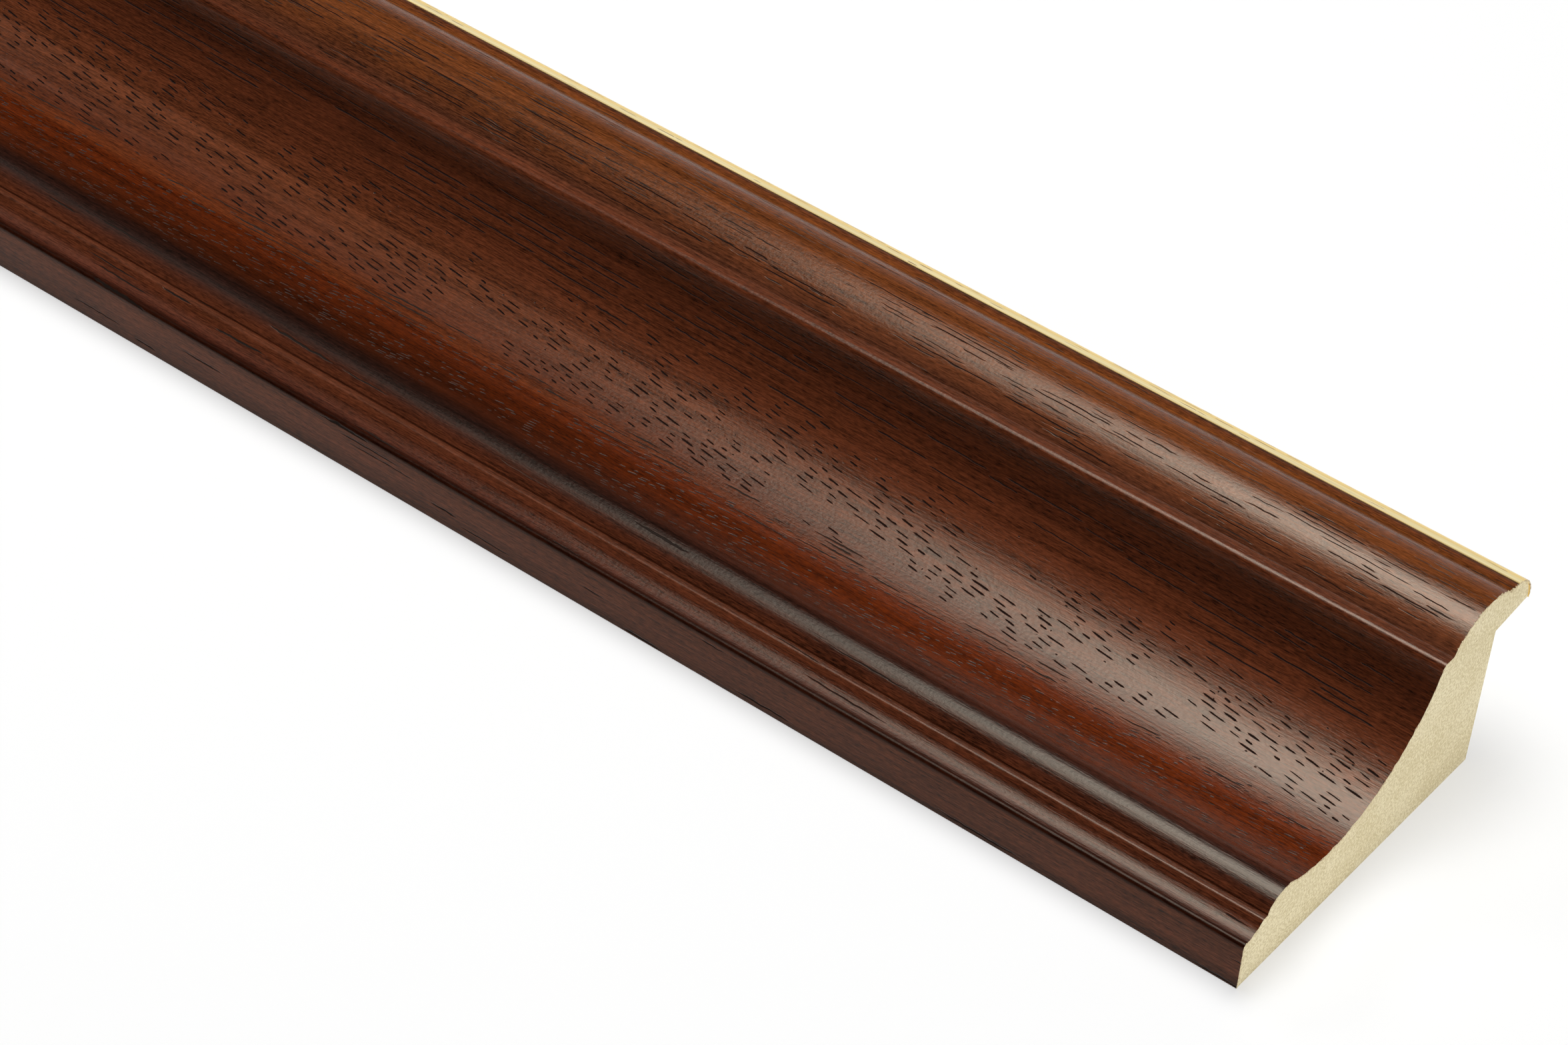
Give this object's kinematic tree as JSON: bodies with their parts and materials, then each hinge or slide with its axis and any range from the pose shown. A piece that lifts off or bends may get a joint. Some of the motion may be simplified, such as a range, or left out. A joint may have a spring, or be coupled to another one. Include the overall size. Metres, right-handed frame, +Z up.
{
  "type": "picture frame moulding",
  "caption": "Straight picture frame moulding with a scooped wood-grain face, a rounded top member, a gold sight edge and a rabbet at the back for glass, picture and backing.",
  "frame": {"origin": "middle of the length and width, on the flat back", "axes": "+X along the stick, +Y from the outer wall to the sight edge, +Z up from the back to the face"},
  "size_m": [1.22, 0.053, 0.0252],
  "materials": {
    "fibreboard": "bare sawn and moulded fibreboard, matt, with fine brown fibres",
    "wood_grain_film": "satin printed wood-grain film with embossed pores",
    "gold_film": "metallic gold film with fine dark pores"
  },
  "bodies": {
    "root": {"fibreboard_core": "fibreboard", "wood_grain_wrap": "wood_grain_film", "gold_lip": "gold_film"}
  },
  "joints": []
}
